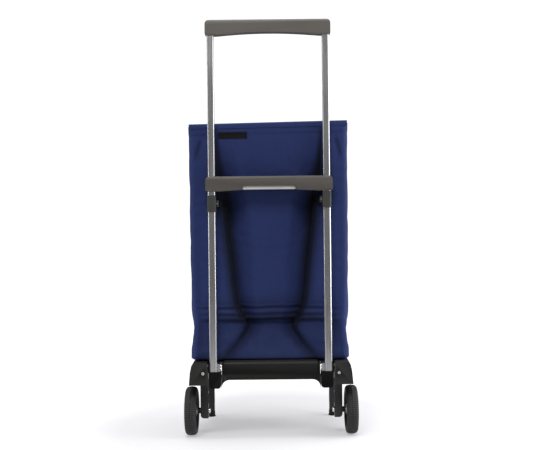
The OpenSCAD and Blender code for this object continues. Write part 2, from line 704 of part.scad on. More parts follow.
// Stiff bar inside the rear hem, which keeps the back of the rim straight
module hem_bar() color("gainsboro") from_tubes() rod_x(1.8, 20.9, bag_rim_z - 13, -190, 190);

module bag_label() color([0.05, 0.05, 0.05]) from_tubes() box(-129, -55, 13, 14, 762.5, 779.5);

// Fabric tabs from the bag's back to the collars' studs
module bag_tabs() color([0.07, 0.08, 0.18]) from_tubes() for (side = [-1, 1]) on_side(side) difference() {
    box(115, tube_x - collar_w / 2 - 0.5, stud_y + 3.1, stud_y + 5.1, stud_z(side) - 8, stud_z(side) + 8);
    rod_y(stud_r + pin_gap, stud_x, stud_z(side), stud_y, stud_y + 6);
}

// Press studs of the flap: lower halves on the bag, caps on the flap
module snap_sockets() color("gray") from_tubes() for (s = [-1, 1]) rod_y(6, s * snap_x, snap_z, 287, 287.7);

module snap_caps() color("silver") from_tubes()
    for (s = [-1, 1]) rod_y(7, s * snap_x, snap_z, lid_front_y, lid_front_y + 1.8);

// ---------------------------------------------------------------- nodes

outer_tube(-1);  // outer_tube_left
outer_tube(1);  // outer_tube_right
tube_foot(-1);  // tube_foot_left
tube_foot(1);  // tube_foot_right
hinge_lug(-1);  // hinge_lug_left
hinge_lug(1);  // hinge_lug_right
lug_rivets();
collar(-1);  // collar_left
collar(1);  // collar_right
collar_studs();
crossbar_rear_shell();
crossbar_front_shell();
crossbar_screws();
lever_springs();
release_lever();
lock_bar(-1);  // lock_bar_left
lock_bar(1);  // lock_bar_right
top_grip();
grip_screws();
inner_tube(-1);  // inner_tube_left
inner_tube(1);  // inner_tube_right
tube_guides();
rear_crossmember();
deck_panel();
side_member(-1);  // side_member_left
side_member(1);  // side_member_right
base_screws();
hinge_pins();
pivot_rod(-1);  // pivot_rod_left
pivot_rod(1);  // pivot_rod_right
side_rail(-1);  // side_rail_left
side_rail(1);  // side_rail_right
wheel_arm(-1);  // wheel_arm_left
wheel_arm(1);  // wheel_arm_right
front_leg(-1);  // front_leg_left
front_leg(1);  // front_leg_right
foot_pad(-1);  // foot_pad_left
foot_pad(1);  // foot_pad_right
leg_screws(-1);  // leg_screws_left
leg_screws(1);  // leg_screws_right
axle(-1);  // axle_left
axle(1);  // axle_right
wheel_bush(-1);  // wheel_bush_left
wheel_bush(1);  // wheel_bush_right
wheel_rim(-1);  // wheel_rim_left
wheel_rim(1);  // wheel_rim_right
tyre(-1);  // tyre_left
tyre(1);  // tyre_right
hub_cap(-1);  // hub_cap_left
hub_cap(1);  // hub_cap_right
bag_body();
bag_lid();
hem_bar();
bag_label();
bag_tabs();
snap_sockets();
snap_caps();
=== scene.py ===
import json
import math

import bpy
import numpy as np
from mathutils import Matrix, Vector, noise
from mathutils.bvhtree import BVHTree

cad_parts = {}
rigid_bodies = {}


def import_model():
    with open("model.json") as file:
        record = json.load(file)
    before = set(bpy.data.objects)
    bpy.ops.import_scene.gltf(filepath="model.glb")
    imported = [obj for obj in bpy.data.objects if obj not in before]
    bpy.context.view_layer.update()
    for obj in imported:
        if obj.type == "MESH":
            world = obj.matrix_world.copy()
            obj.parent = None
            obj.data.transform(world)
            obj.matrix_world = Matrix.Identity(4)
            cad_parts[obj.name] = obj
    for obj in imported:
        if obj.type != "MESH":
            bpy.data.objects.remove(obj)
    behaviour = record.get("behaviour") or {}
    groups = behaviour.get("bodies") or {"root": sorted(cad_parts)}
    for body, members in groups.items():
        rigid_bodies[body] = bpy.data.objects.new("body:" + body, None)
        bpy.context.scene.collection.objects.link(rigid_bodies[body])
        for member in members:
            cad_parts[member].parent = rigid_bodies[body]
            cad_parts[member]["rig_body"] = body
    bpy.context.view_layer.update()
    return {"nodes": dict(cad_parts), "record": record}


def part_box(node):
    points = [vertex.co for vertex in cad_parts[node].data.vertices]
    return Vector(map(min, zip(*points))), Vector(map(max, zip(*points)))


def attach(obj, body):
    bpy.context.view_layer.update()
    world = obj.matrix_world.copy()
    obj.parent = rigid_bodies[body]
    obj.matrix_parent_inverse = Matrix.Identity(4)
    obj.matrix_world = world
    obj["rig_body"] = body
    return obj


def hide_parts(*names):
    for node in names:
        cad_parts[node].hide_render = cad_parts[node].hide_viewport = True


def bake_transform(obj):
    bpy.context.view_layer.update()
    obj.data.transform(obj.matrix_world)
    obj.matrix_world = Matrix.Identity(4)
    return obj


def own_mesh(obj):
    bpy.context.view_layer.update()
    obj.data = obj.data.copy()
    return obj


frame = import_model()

nodes = frame["nodes"]
MM = 0.001

# ---------------------------------------------------------------- places, from the frame

tube_low, tube_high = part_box("outer_tube_right")
TUBE_X = (tube_low.x + tube_high.x) / 2
TUBE_Y = (tube_low.y + tube_high.y) / 2
bag_low, bag_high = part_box("bag_body")
lid_low, lid_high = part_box("bag_lid")
label_low, label_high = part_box("bag_label")


# ---------------------------------------------------------------- materials

class Finish:
    """A material under construction: its Principled shader, and short ways to add nodes to it."""

    def __init__(self, name, roughness, metallic=0.0):
        self.material = bpy.data.materials.new(name)
        self.material.use_nodes = True
        self.tree = self.material.node_tree
        self.shader = self.tree.nodes["Principled BSDF"]
        self.shader.inputs["Roughness"].default_value = roughness
        self.shader.inputs["Metallic"].default_value = metallic
        self.place = self.tree.nodes.new("ShaderNodeTexCoord").outputs["Object"]

    def node(self, kind, inputs=None, **settings):
        made = self.tree.nodes.new(kind)
        for key, value in settings.items():
            setattr(made, key, value)
        for key, value in (inputs or {}).items():
            if isinstance(value, bpy.types.NodeSocket):
                self.tree.links.new(value, made.inputs[key])
            else:
                made.inputs[key].default_value = value
        return made

    def math(self, operation, a, b=0.0):
        return self.node("ShaderNodeMath", {0: a, 1: b}, operation=operation).outputs[0]

    def noise(self, scale, detail=2.0, stretch=None, roughness=0.5):
        place = self.place
        if stretch:
            place = self.node("ShaderNodeMapping", {"Vector": place, "Scale": stretch}).outputs[0]
        made = self.node("ShaderNodeTexNoise", {"Vector": place, "Scale": scale, "Detail": detail,
                                                "Roughness": roughness})
        return made.outputs[0]

    def spread(self, value, low, high, from_low=0.3, from_high=0.7):
        made = self.node("ShaderNodeMapRange", {"Value": value, "From Min": from_low, "From Max": from_high,
                                                "To Min": low, "To Max": high})
        return made.outputs[0]

    def blend(self, factor, a, b, mode="MIX"):
        made = self.node("ShaderNodeMix", {"Factor": factor}, data_type="RGBA", blend_type=mode)
        for socket, value in (("A", a), ("B", b)):
            target = next(i for i in made.inputs if i.name == socket and i.type == "RGBA")
            if isinstance(value, bpy.types.NodeSocket):
                self.tree.links.new(value, target)
            else:
                target.default_value = (*value, 1.0)
        return next(o for o in made.outputs if o.type == "RGBA")

    def edges(self, low=0.51, high=0.58):
        """Share of the lighter edge, partly wear and partly painted highlight: 0 on flat faces and 1 on
        convex edges.
        """
        pointiness = self.node("ShaderNodeNewGeometry").outputs["Pointiness"]
        return self.spread(pointiness, 0.0, 1.0, low, high)

    def link(self, socket, target):
        self.tree.links.new(socket, self.shader.inputs[target])

    def bump(self, height, strength, distance, under=None):
        inputs = {"Height": height, "Strength": strength, "Distance": distance}
        if under:
            inputs["Normal"] = under
        return self.node("ShaderNodeBump", inputs).outputs[0]


def shade(color, factor):
    return tuple(c * factor for c in color)


def moulded_plastic(name, color, roughness, grain=0.12, wear_and_highlight=0.5, specular=0.22):
    """Moulded plastic: fine spark-eroded grain, faint flow marks, and lighter edges, partly handling wear and
    partly painted highlight.
    """
    f = Finish(name, roughness)
    flow = f.noise(9, 3)
    tint = f.blend(f.spread(flow, 0, 1), shade(color, 0.88), shade(color, 1.12))
    # lighter convex edges: partly wear, partly painted highlight
    worn_and_highlit = f.math("MULTIPLY", f.edges(), wear_and_highlight)
    f.link(f.blend(worn_and_highlit, tint, tuple(min(1, c * 2.2 + 0.02) for c in color)), "Base Color")
    f.link(f.spread(f.noise(60, 4), roughness - 0.07, roughness + 0.07), "Roughness")
    f.shader.inputs["Specular IOR Level"].default_value = specular
    coarse = f.bump(f.noise(26, 2), 0.05, 2 * MM)
    f.link(f.bump(f.noise(1500, 3), grain, 0.25 * MM, coarse), "Normal")
    return f.material


def drawn_metal(name, color, roughness, streak_scale=900, stretch=(1, 1, 0.012), strength=0.1):
    """Metal with fine drawing marks along its length, and smudges."""
    f = Finish(name, roughness, metallic=1.0)
    streaks = f.noise(streak_scale, 3, stretch)
    smudges = f.noise(14, 4, (1, 1, 0.4))
    tint = f.blend(f.spread(streaks, 0, 1), shade(color, 0.9), shade(color, 1.06))
    f.link(f.blend(f.math("MULTIPLY", f.spread(smudges, 0, 1, 0.45, 0.75), 0.25), tint, shade(color, 0.7)),
           "Base Color")
    f.link(f.math("ADD", f.spread(streaks, roughness - 0.05, roughness + 0.05),
                  f.spread(smudges, 0.0, 0.1)), "Roughness")
    f.link(f.bump(streaks, strength, 0.08 * MM), "Normal")
    return f.material


def turned_metal(name, color, roughness):
    """Small turned or headed steel parts: fine scratches in every direction."""
    f = Finish(name, roughness, metallic=1.0)
    marks = f.noise(700, 4, (1, 0.2, 1))
    f.link(f.blend(f.spread(marks, 0, 1), shade(color, 0.8), color), "Base Color")
    f.link(f.spread(f.noise(200, 3), roughness - 0.08, roughness + 0.1), "Roughness")
    f.link(f.bump(marks, 0.08, 0.1 * MM), "Normal")
    return f.material


def woven(name, color, thread, roughness=0.72, sheen=0.25, bump=0.35, mottle=0.1):
    """Plain weave in the mesh's own UV map, in metres along the cloth, with painted shade from the mesh's
    fold_shade.
    """
    f = Finish(name, roughness)
    uv = f.node("ShaderNodeUVMap", uv_map="cloth").outputs[0]
    scaled = f.node("ShaderNodeVectorMath", {0: uv, 1: (1 / thread,) * 3}, operation="MULTIPLY").outputs[0]
    over = f.node("ShaderNodeTexChecker", {"Vector": scaled, "Scale": 1.0}).outputs["Fac"]
    parts = f.node("ShaderNodeSeparateXYZ", {0: scaled})

    def thread_round(position):
        share = f.math("FRACT", position)
        return f.math("SINE", f.math("MULTIPLY", share, math.pi))

    warp, weft = thread_round(parts.outputs[0]), thread_round(parts.outputs[1])
    both = f.node("ShaderNodeMix", {"Factor": over, "A": warp, "B": weft}).outputs[0]
    fibres = f.noise(2400, 2)
    height = f.math("ADD", both, f.math("MULTIPLY", fibres, 0.35))
    broad = f.blend(f.spread(f.noise(5.5, 4), 0, 1), shade(color, 1 - mottle), shade(color, 1 + mottle))
    threads = f.blend(f.spread(both, 0, 1, 0.0, 1.0), shade(color, 0.8), shade(color, 1.1))
    # painted shade: where the mesh's fold_shade marks it, the colour goes towards near-black
    painted_shade = f.node("ShaderNodeAttribute", attribute_name="fold_shade").outputs["Fac"]
    f.link(f.blend(painted_shade, f.blend(0.5, broad, threads), shade(color, 0.01)), "Base Color")
    f.link(f.spread(f.noise(35, 3), roughness - 0.06, roughness + 0.06), "Roughness")
    f.shader.inputs["Sheen Weight"].default_value = sheen
    f.shader.inputs["Sheen Roughness"].default_value = 0.45
    f.shader.inputs["Sheen Tint"].default_value = (*(min(1, c * 3 + 0.25) for c in color), 1)
    f.shader.inputs["Specular IOR Level"].default_value = 0.14
    puckers = f.bump(f.noise(38, 3), 0.12, 2 * MM)
    f.link(f.bump(height, bump, 0.12 * MM, puckers), "Normal")
    return f.material


def rubber(name, color, roughness=0.62):
    """Black rubber with a dusty bloom and fine pitting, and paler rib crests where the mesh marks them, a
    painted highlight.
    """
    f = Finish(name, roughness)
    f.shader.inputs["Specular IOR Level"].default_value = 0.25
    dust = f.spread(f.noise(45, 5), 0, 1, 0.42, 0.75)
    dusty = f.blend(f.math("MULTIPLY", dust, 0.5), color, tuple(c * 1.8 + 0.008 for c in color))
    # painted highlight along the marked rib crests
    rib_crest_highlight = f.node("ShaderNodeAttribute", attribute_name="rib_crest_highlight").outputs["Fac"]
    f.link(f.blend(rib_crest_highlight, dusty, tuple(c * 3 + 0.02 for c in color)), "Base Color")
    f.link(f.spread(f.noise(90, 3), roughness - 0.1, roughness + 0.1), "Roughness")
    f.link(f.bump(f.noise(1100, 3), 0.15, 0.3 * MM), "Normal")
    return f.material


NAVY = (0.0195, 0.0315, 0.113)
MATERIALS = {
    "tube_metal": drawn_metal("tube_metal", (0.52, 0.52, 0.53), 0.24, strength=0.05),
    "lug_metal": drawn_metal("lug_metal", (0.42, 0.42, 0.42), 0.3),
    "bright_steel": turned_metal("bright_steel", (0.78, 0.78, 0.78), 0.18),
    "screw_steel": turned_metal("screw_steel", (0.5, 0.5, 0.51), 0.3),
    "spring_steel": turned_metal("spring_steel", (0.62, 0.62, 0.62), 0.28),
    "grip_plastic": moulded_plastic("grip_plastic", (0.088, 0.079, 0.071), 0.5, wear_and_highlight=0.3, specular=0.3),
    "crossbar_plastic": moulded_plastic("crossbar_plastic", (0.066, 0.059, 0.053), 0.5, wear_and_highlight=0.3,
                                        specular=0.3),
    "lever_plastic": moulded_plastic("lever_plastic", (0.5, 0.495, 0.48), 0.42, wear_and_highlight=0.1),
    "collar_plastic": moulded_plastic("collar_plastic", (0.034, 0.034, 0.032), 0.45),
    "foot_plastic": moulded_plastic("foot_plastic", (0.0015, 0.0015, 0.0015), 0.4, wear_and_highlight=0.3, specular=0.06),
    "base_plastic": moulded_plastic("base_plastic", (0.0052, 0.0052, 0.0047), 0.4, wear_and_highlight=1.0, specular=0.11),
    "leg_plastic": moulded_plastic("leg_plastic", (0.015, 0.015, 0.0145), 0.42, specular=0.2),
    "rail_paint": moulded_plastic("rail_paint", (0.02, 0.02, 0.02), 0.35, grain=0.05),
    "guide_plastic": moulded_plastic("guide_plastic", (0.3, 0.3, 0.3), 0.45),
    "pad_rubber": rubber("pad_rubber", (0.01, 0.01, 0.01)),
    "rim_plastic": moulded_plastic("rim_plastic", (0.02, 0.02, 0.02), 0.45),
    "tyre_rubber": rubber("tyre_rubber", (0.01, 0.01, 0.01)),
    "bag_fabric": woven("bag_fabric", NAVY, 0.7 * MM, sheen=0.05),
    "webbing": woven("webbing", (0.0016, 0.002, 0.005), 1.2 * MM, sheen=0.0, bump=0.4),
    "label_fabric": woven("label_fabric", (0.006, 0.006, 0.007), 0.5 * MM, roughness=0.55, sheen=0.03),
    "snap_metal": turned_metal("snap_metal", (0.6, 0.6, 0.6), 0.22),
}
THREAD = woven("thread", shade(NAVY, 0.8), 0.4 * MM, sheen=0.05)


# ---------------------------------------------------------------- mesh helpers

def piece(name, points, faces, slot, body, replaces=(), uvs=None, material=None):
    """A mesh object that rides on a CAD body, with the finish of one of the record's material slots."""
    mesh = bpy.data.meshes.new(name)
    mesh.from_pydata([tuple(p) for p in points], [], [tuple(f) for f in faces])
    mesh.validate()
    made = bpy.data.objects.new(name, mesh)
    bpy.context.scene.collection.objects.link(made)
    mesh.shade_smooth()
    if uvs is not None:
        layer = mesh.uv_layers.new(name="cloth")
        loops = np.array([loop.vertex_index for loop in mesh.loops])
        layer.data.foreach_set("uv", np.asarray(uvs, np.float32)[loops].ravel())
    mesh.materials.append(material or MATERIALS[slot])
    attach(made, body)
    if replaces:
        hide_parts(*replaces)
    return made


def mark(obj, name, values):
    """Gives each point of the mesh a number that its material reads."""
    layer = obj.data.attributes.new(name, "FLOAT", "POINT")
    layer.data.foreach_set("value", np.asarray(values, np.float32))


def modifier(obj, kind, **settings):
    """Adds a modifier with these settings."""
    made = obj.modifiers.new(kind.lower(), kind)
    for key, value in settings.items():
        setattr(made, key, value)
    return made


def apply_modifiers(obj):
    """Makes what the modifiers give the object's own mesh."""
    graph = bpy.context.evaluated_depsgraph_get()
    graph.update()
    final = bpy.data.meshes.new_from_object(obj.evaluated_get(graph), preserve_all_data_layers=True,
                                            depsgraph=graph)
    obj.modifiers.clear()
    old = obj.data
    obj.data = final
    final.name = old.name
    return obj


def soften(obj, width):
    """Rounds the sharp edges of a flat-sided solid."""
    modifier(obj, "WELD", merge_threshold=0.01 * MM)
    modifier(obj, "DECIMATE", decimate_type="DISSOLVE", angle_limit=math.radians(0.6))
    modifier(obj, "BEVEL", width=width, segments=2, limit_method="ANGLE", angle_limit=math.radians(32),
             use_clamp_overlap=True, miter_outer="MITER_ARC")
    modifier(obj, "WEIGHTED_NORMAL", keep_sharp=True)


def smooth_step(t):
    """Goes from 0 to 1 with level ends as t goes from 0 to 1."""
    t = np.clip(t, 0, 1)
    return t * t * (3 - 2 * t)


def curve_through(points, x):
    """A smooth curve through [x, y] points (monotone between them), evaluated at x."""
    px, py = np.array(points, float).T
    order = np.argsort(px)
    px, py = px[order], py[order]
    slope = np.diff(py) / np.diff(px)
    tangent = np.zeros(len(px))
    same = slope[:-1] * slope[1:] > 0
    tangent[1:-1][same] = 2 / (1 / slope[:-1][same] + 1 / slope[1:][same])
    tangent[0], tangent[-1] = slope[0], slope[-1]
    x = np.clip(x, px[0], px[-1])
    k = np.clip(np.searchsorted(px, x) - 1, 0, len(px) - 2)
    h = px[k + 1] - px[k]
    t = (x - px[k]) / h
    return ((2 * t**3 - 3 * t**2 + 1) * py[k] + (t**3 - 2 * t**2 + t) * h * tangent[k]
            + (3 * t**2 - 2 * t**3) * py[k + 1] + (t**3 - t**2) * h * tangent[k + 1])


def grid_faces(rows, columns, closed):
    """Quads of a grid of rows by columns of points, wrapped round its columns where closed."""
    last = columns if closed else columns - 1
    return [(r * columns + c, r * columns + (c + 1) % columns,
             (r + 1) * columns + (c + 1) % columns, (r + 1) * columns + c)
            for r in range(rows - 1) for c in range(last)]


# ---------------------------------------------------------------- the CAD parts that stay

for entry in frame["record"]["subparts"]:
    part = nodes[entry["node"]]
    part.data.materials.clear()
    part.data.materials.append(MATERIALS[entry["material_slot"]])

# rounding of the moulded and machined edges, in millimetres
SOFTENED = {
    "top_grip": 1.2, "crossbar_rear_shell": 1.0, "crossbar_front_shell": 1.0, "release_lever": 0.8,
    "collar_left": 0.7, "collar_right": 0.7, "tube_foot_left": 1.0, "tube_foot_right": 1.0,
    "hinge_lug_left": 0.5, "hinge_lug_right": 0.5, "rear_crossmember": 0.8, "deck_panel": 0.6,
    "side_member_left": 0.9, "side_member_right": 0.9, "wheel_arm_left": 1.0, "wheel_arm_right": 1.0,
    "front_leg_left": 0.8, "front_leg_right": 0.8, "foot_pad_left": 0.5, "foot_pad_right": 0.5,
    "wheel_rim_left": 0.5, "wheel_rim_right": 0.5, "hub_cap_left": 0.8, "hub_cap_right": 0.8,
    "pivot_rod_left": 0.3, "pivot_rod_right": 0.3, "axle_left": 0.4, "axle_right": 0.4,
}
for name, width in SOFTENED.items():
    soften(nodes[name], width * MM)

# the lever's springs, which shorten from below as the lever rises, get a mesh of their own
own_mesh(nodes["lever_springs"])


# ---------------------------------------------------------------- the bag

BAG_BACK = TUBE_Y + 14 * MM       # the plane that the bag's back touches near its rim
BAG_BOTTOM = bag_low.z
BAG_RIM = bag_high.z
SEAM_DROP = 24 * MM               # the hem's seam below the rim
FOLD_Z = BAG_BOTTOM + 99 * MM     # the deep fold across the back
FIRST_CREASE = 14                 # the two creases above the deep fold, in millimetres from it
SECOND_CREASE = 31
RIM_RISE = 3.4 * MM               # the rim stands this much higher at its right end, and lower at its left
LEFT_BULGE = 3.5 * MM             # the bag is a little wider on the left
SETTLE_FRAMES = 14                # how long the cloth simulation runs


def bag_half_width(z):
    """Half the bag's width at a height."""
    above = (z - BAG_BOTTOM) / MM
    return curve_through([(0, 201), (24, 199.5), (60, 196), (92, 193.2), (150, 195.6), (300, 199.3),
                          (450, 201), (600, 202)], above) * MM


def bag_front(z):
    """Where the bag's front is at a height."""
    above = (z - BAG_BOTTOM) / MM
    return TUBE_Y + curve_through([(0, 284), (140, 288), (300, 288.5), (600, 286)], above) * MM


def middle_depth(z):
    """How far the middle of the back hangs in, behind the plane of its edges."""
    above = (z - BAG_BOTTOM) / MM
    return curve_through([(0, 0), (20, 9), (50, 25), (86, 44), (110, 41), (180, 38), (300, 30),
                          (500, 8.5), (570, 1.5), (600, 0)], above) * MM


def tuck_line(z):
    """Distance from the middle of the tuck that runs down each side of the hanging middle."""
    above = (z - BAG_BOTTOM) / MM
    return curve_through([(0, 109), (16, 101), (47, 76), (82, 56), (100, 62), (122, 73), (152, 82), (253, 92),
                          (329, 101), (404, 108), (492, 124), (600, 132)], above) * MM


def tuck_depth(z):
    """How much deeper than the middle the bottom of each tuck is."""
    above = (z - BAG_BOTTOM) / MM
    return curve_through([(0, 1), (40, 5), (88, 11), (200, 14), (300, 16), (380, 20), (440, 17), (520, 6),
                          (560, 2), (600, 0)], above) * MM


def hump(distance, width):
    """1 where distance is 0, falling smoothly to nothing beyond about twice the width."""
    return np.exp(-(distance / width) ** 2)


def side_tuck_shade(x, z):
    """The painted shade of each tuck: strong and broad beside the collars, softer towards its two ends."""
    above = (z - BAG_BOTTOM) / MM
    off = (np.abs(x) - tuck_line(z)) / MM - 4
    outer_width = curve_through([(0, 22), (100, 15), (250, 19), (330, 20), (400, 28), (470, 24), (520, 10),
                                 (600, 7)], above)
    inner_width = curve_through([(0, 26), (100, 18), (250, 18), (330, 20), (400, 28), (470, 18), (520, 10),
                                 (600, 6)], above)
    strength = curve_through([(0, 0.6), (40, 0.6), (90, 0.85), (250, 0.94), (330, 0.97), (400, 0.99),
                              (470, 0.99), (530, 0.9), (560, 0.75), (600, 0.3)], above)
    return strength * hump(off, np.where(off > 0, outer_width, inner_width))


def cross_fold_shade(x, z):
    """The painted shade along the deep fold and the two creases above it, fading towards the bag's edges."""
    fade = 0.35 * smooth_step((np.abs(x) - 90 * MM) / (60 * MM))
    fade += 0.5 * smooth_step((np.abs(x) - 150 * MM) / (40 * MM))
    up = (z - fold_line(x)) / MM
    lines = 0.8 * hump(up - 1, np.where(up > 1, 9, 6)) + 0.3 * hump(up - 44, 22)
    lines += 0.7 * hump(up - FIRST_CREASE, 4) + 0.5 * hump(up - SECOND_CREASE, 4)
    return np.clip(lines * (1 - fade), 0, 0.95)


def corner_fold_shade(x, z):
    """The painted shade of the short slanting folds under the hem's corners."""
    above = (z - BAG_BOTTOM) / MM
    slant = 0.55 * hump(np.abs(x) / MM - 171 - 0.3 * (564 - above), 4.5)
    return slant * smooth_step((above - 512) / 16) * smooth_step((568 - above) / 12)


def fold_shade(x, z):
    """How much painted shade darkens the cloth's colour along its tucks and folds, as in the photograph: 0 to
    1.
    """
    # painted shade under the deep fold's overhang
    shade_under_fold = 0.28 * smooth_step((FOLD_Z - z) / (12 * MM))
    lit = (1 - side_tuck_shade(x, z)) * (1 - shade_under_fold) * (1 - corner_fold_shade(x, z))
    return np.clip(1 - lit * (1 - cross_fold_shade(x, z)), 0, 0.98)


def fold_line(x):
    """Height of the deep fold at x: it runs across with a slight wave."""
    return FOLD_Z + 0.9 * MM * np.sin(x / (38 * MM)) + 0.5 * MM * np.sin(x / (17 * MM) + 1)


def cross_folds(x, z, inside):
    """The folds across the back: a deep tuck under an overhanging bulge, and two creases above it."""
    fade = 1 - 0.7 * smooth_step((np.abs(x) - 120 * MM) / (75 * MM))
    line = fold_line(x)
    under = np.where(z < line, np.exp((z - line) / (22 * MM)), 0) * smooth_step((line - z) / (6 * MM))
    bulge = np.exp(-((z - line - 7 * MM) / (6 * MM)) ** 2)
    depth = 13 * MM * under * (0.4 + 0.6 * inside) - 6 * MM * bulge
    for up, deep, wide in ((FIRST_CREASE, 4.5, 3.0), (SECOND_CREASE, 3.5, 3.5)):
        depth += deep * MM * np.exp(-((z - line - up * MM) / (wide * MM)) ** 2)
    return fade * depth


def back_depth(x, z):
    """Depth of the back panel at [x, z]: the strips behind the tubes, a tuck each side, and the middle."""
    above = (z - BAG_BOTTOM) / MM
    middle = middle_depth(z)
    strip = middle * curve_through([(0, 0.5), (84, 0.35), (200, 0.3), (400, 0.25), (600, 0.5)], above)
    tuck = tuck_line(z)
    wall = 13 * MM
    inner = curve_through([(0, 25), (88, 40), (300, 58), (500, 50), (600, 30)], above) * MM
    inside = 1 - smooth_step((np.abs(x) - tuck) / wall)
    slope = 1 - smooth_step((tuck - np.abs(x)) / inner)
    bottom_of_tuck = middle + tuck_depth(z) * slope
    depth = strip + (bottom_of_tuck - strip) * inside
    return depth + cross_folds(x, z, inside)


def rumple(place, size, seed):
    """Smooth noise at a place, about as long in each direction as size."""
    scaled = Vector((place[0] / size[0], place[1] / size[1], place[2] / size[2]))
    return noise.noise(scaled + Vector((seed, 0, 0)))


class BagShell:
    """The bag's wall as a grid of points: rows go up, columns go round from the back's left end."""

    corner = 16 * MM
    sides = (("back", 76), ("right", 26), ("front", 40), ("left", 26))

    def __init__(self):
        self.heights = self.row_heights()
        self.points = np.array([self.loop(z) for z in self.heights])
        self.side_of = np.array([name for side, n in self.sides
                                 for name in [side] * (n + 1) + ["corner"] * 5])

    @staticmethod
    def row_heights():
        """Rows every 10 mm, closer round the folds across the back and at the hem."""
        z, rows = BAG_BOTTOM, []
        while z < BAG_RIM - 1 * MM:
            rows.append(z)
            near_fold = -32 * MM < z - FOLD_Z < 46 * MM
            near_hem = z > BAG_RIM - SEAM_DROP - 8 * MM
            z += (3.5 if near_fold else 2.4 if near_hem else 10) * MM
        rows.append(BAG_RIM)
        return np.array(rows)

    def loop(self, z):
        """One level round the bag: the back from left to right, the right side, the front, the left side."""
        half, front, r, back = bag_half_width(z), bag_front(z), self.corner, BAG_BACK
        corners = [(half - r, back + r, -90), (half - r, front - r, 0), (r - half, front - r, 90),
                   (r - half, back + r, 180)]
        starts = [(r - half, back), (half, back + r), (half - r, front), (-half, front - r)]
        ends = [(half - r, back), (half, front - r), (r - half, front), (-half, back + r)]
        points = []
        for (_, n), start, end, (cx, cy, turn) in zip(self.sides, starts, ends, corners):
            for k in range(n + 1):
                points.append(tuple(a + (b - a) * k / n for a, b in zip(start, end)) + (z,))
            for k in range(1, 6):
                a = math.radians(turn + 90 * k / 6)
                points.append((cx + r * math.cos(a), cy + r * math.sin(a), z))
        return points

    def shape(self):
        """Hangs the back in and lets the sides and the front sag."""
        p = self.points
        x, y, z = p[:, :, 0].copy(), p[:, :, 1].copy(), p[:, :, 2].copy()
        half = bag_half_width(z)
        share_back = smooth_step((TUBE_Y + 60 * MM - y) / (30 * MM))
        edge = 1 - smooth_step((np.abs(x) - (half - 36 * MM)) / (36 * MM))
        p[:, :, 1] += back_depth(x, z) * edge * share_back
        height = (z - BAG_BOTTOM) / (BAG_RIM - BAG_BOTTOM)
        hollow = np.sin(np.pi * height) ** 0.8
        middle_y = (BAG_BACK + bag_front(z)) / 2
        for side, sign in (("right", 1), ("left", -1)):
            mask = (self.side_of == side)[None, :]
            across = np.clip(1 - ((y - middle_y) / (125 * MM)) ** 2, 0, 1)
            p[:, :, 0] -= sign * mask * across * hollow * 9 * MM
        mask = (self.side_of == "front")[None, :]
        across = np.clip(1 - (x / (170 * MM)) ** 2, 0, 1)
        p[:, :, 1] -= mask * across * (0.3 + hollow) * 4 * MM
        p[:, :, 0] -= LEFT_BULGE * smooth_step(-x / half)
        p[:, :, 2] += RIM_RISE * (x / half) * smooth_step((height - 0.8) / 0.2)

    def outward(self):
        """The wall's outward normals."""
        along = np.roll(self.points, -1, 1) - np.roll(self.points, 1, 1)
        up = np.gradient(self.points, axis=0)
        n = np.cross(along, up)
        return n / np.maximum(np.linalg.norm(n, axis=2, keepdims=True), 1e-9)

    def wrinkle(self):
        """Soft creases in the cloth, and the small slanting folds that fall from the hem's corners."""
        p, normals = self.points, self.outward()
        for r, z in enumerate(self.heights):
            height = (z - BAG_BOTTOM) / (BAG_RIM - BAG_BOTTOM)
            calm = min(1, (1 - height) / 0.06) * min(1, height / 0.03)
            for c in range(p.shape[1]):
                here = p[r, c]
                long_folds = rumple(here, (0.06, 0.06, 0.3), 3.1)
                patches = rumple(here, (0.045, 0.045, 0.05), 11.7)
                below = (BAG_RIM - SEAM_DROP - z) / MM
                slant = abs(abs(here[0]) - (166 + 0.16 * below) * MM) / (4.5 * MM)
                corner_fold = math.exp(-slant ** 2) * max(0, min(1, below / 8)) * max(0, 1 - below / 70)
                if here[1] > TUBE_Y + 60 * MM:
                    corner_fold = 0
                out = calm * (1.3 * long_folds + 1.1 * patches) - 3.2 * corner_fold
                p[r, c] += normals[r, c] * out * MM

    def hem(self):
        """The doubled cloth above the seam stands out a little, and the seam draws in."""
        below_rim = (BAG_RIM - self.heights) / MM
        seam = SEAM_DROP / MM
        out = 0.8 * smooth_step((seam - below_rim) / 3) - 1.1 * np.exp(-((below_rim - seam) / 1.8) ** 2)
        self.points += self.outward() * out[:, None, None] * MM

    def uvs(self):
        """Metres along the cloth, from one level's own length."""
        middle = self.points[len(self.heights) // 2]
        step = np.linalg.norm(np.roll(middle, -1, 0) - middle, axis=1)
        u = np.concatenate([[0], np.cumsum(step)[:-1]])
        return [(u[c], z) for z in self.heights for c in range(self.points.shape[1])]

    def floor_rings(self):
        """The bottom panel: rings that shrink from the lowest level to the middle."""
        rim = self.points[0]
        centre = rim.mean(0)
        rings = [centre + (rim - centre) * (1 - k / 6.5) for k in range(6, 0, -1)]
        for ring in rings:
            ring[:, 2] = BAG_BOTTOM + 0.4 * MM
        return np.array(rings)


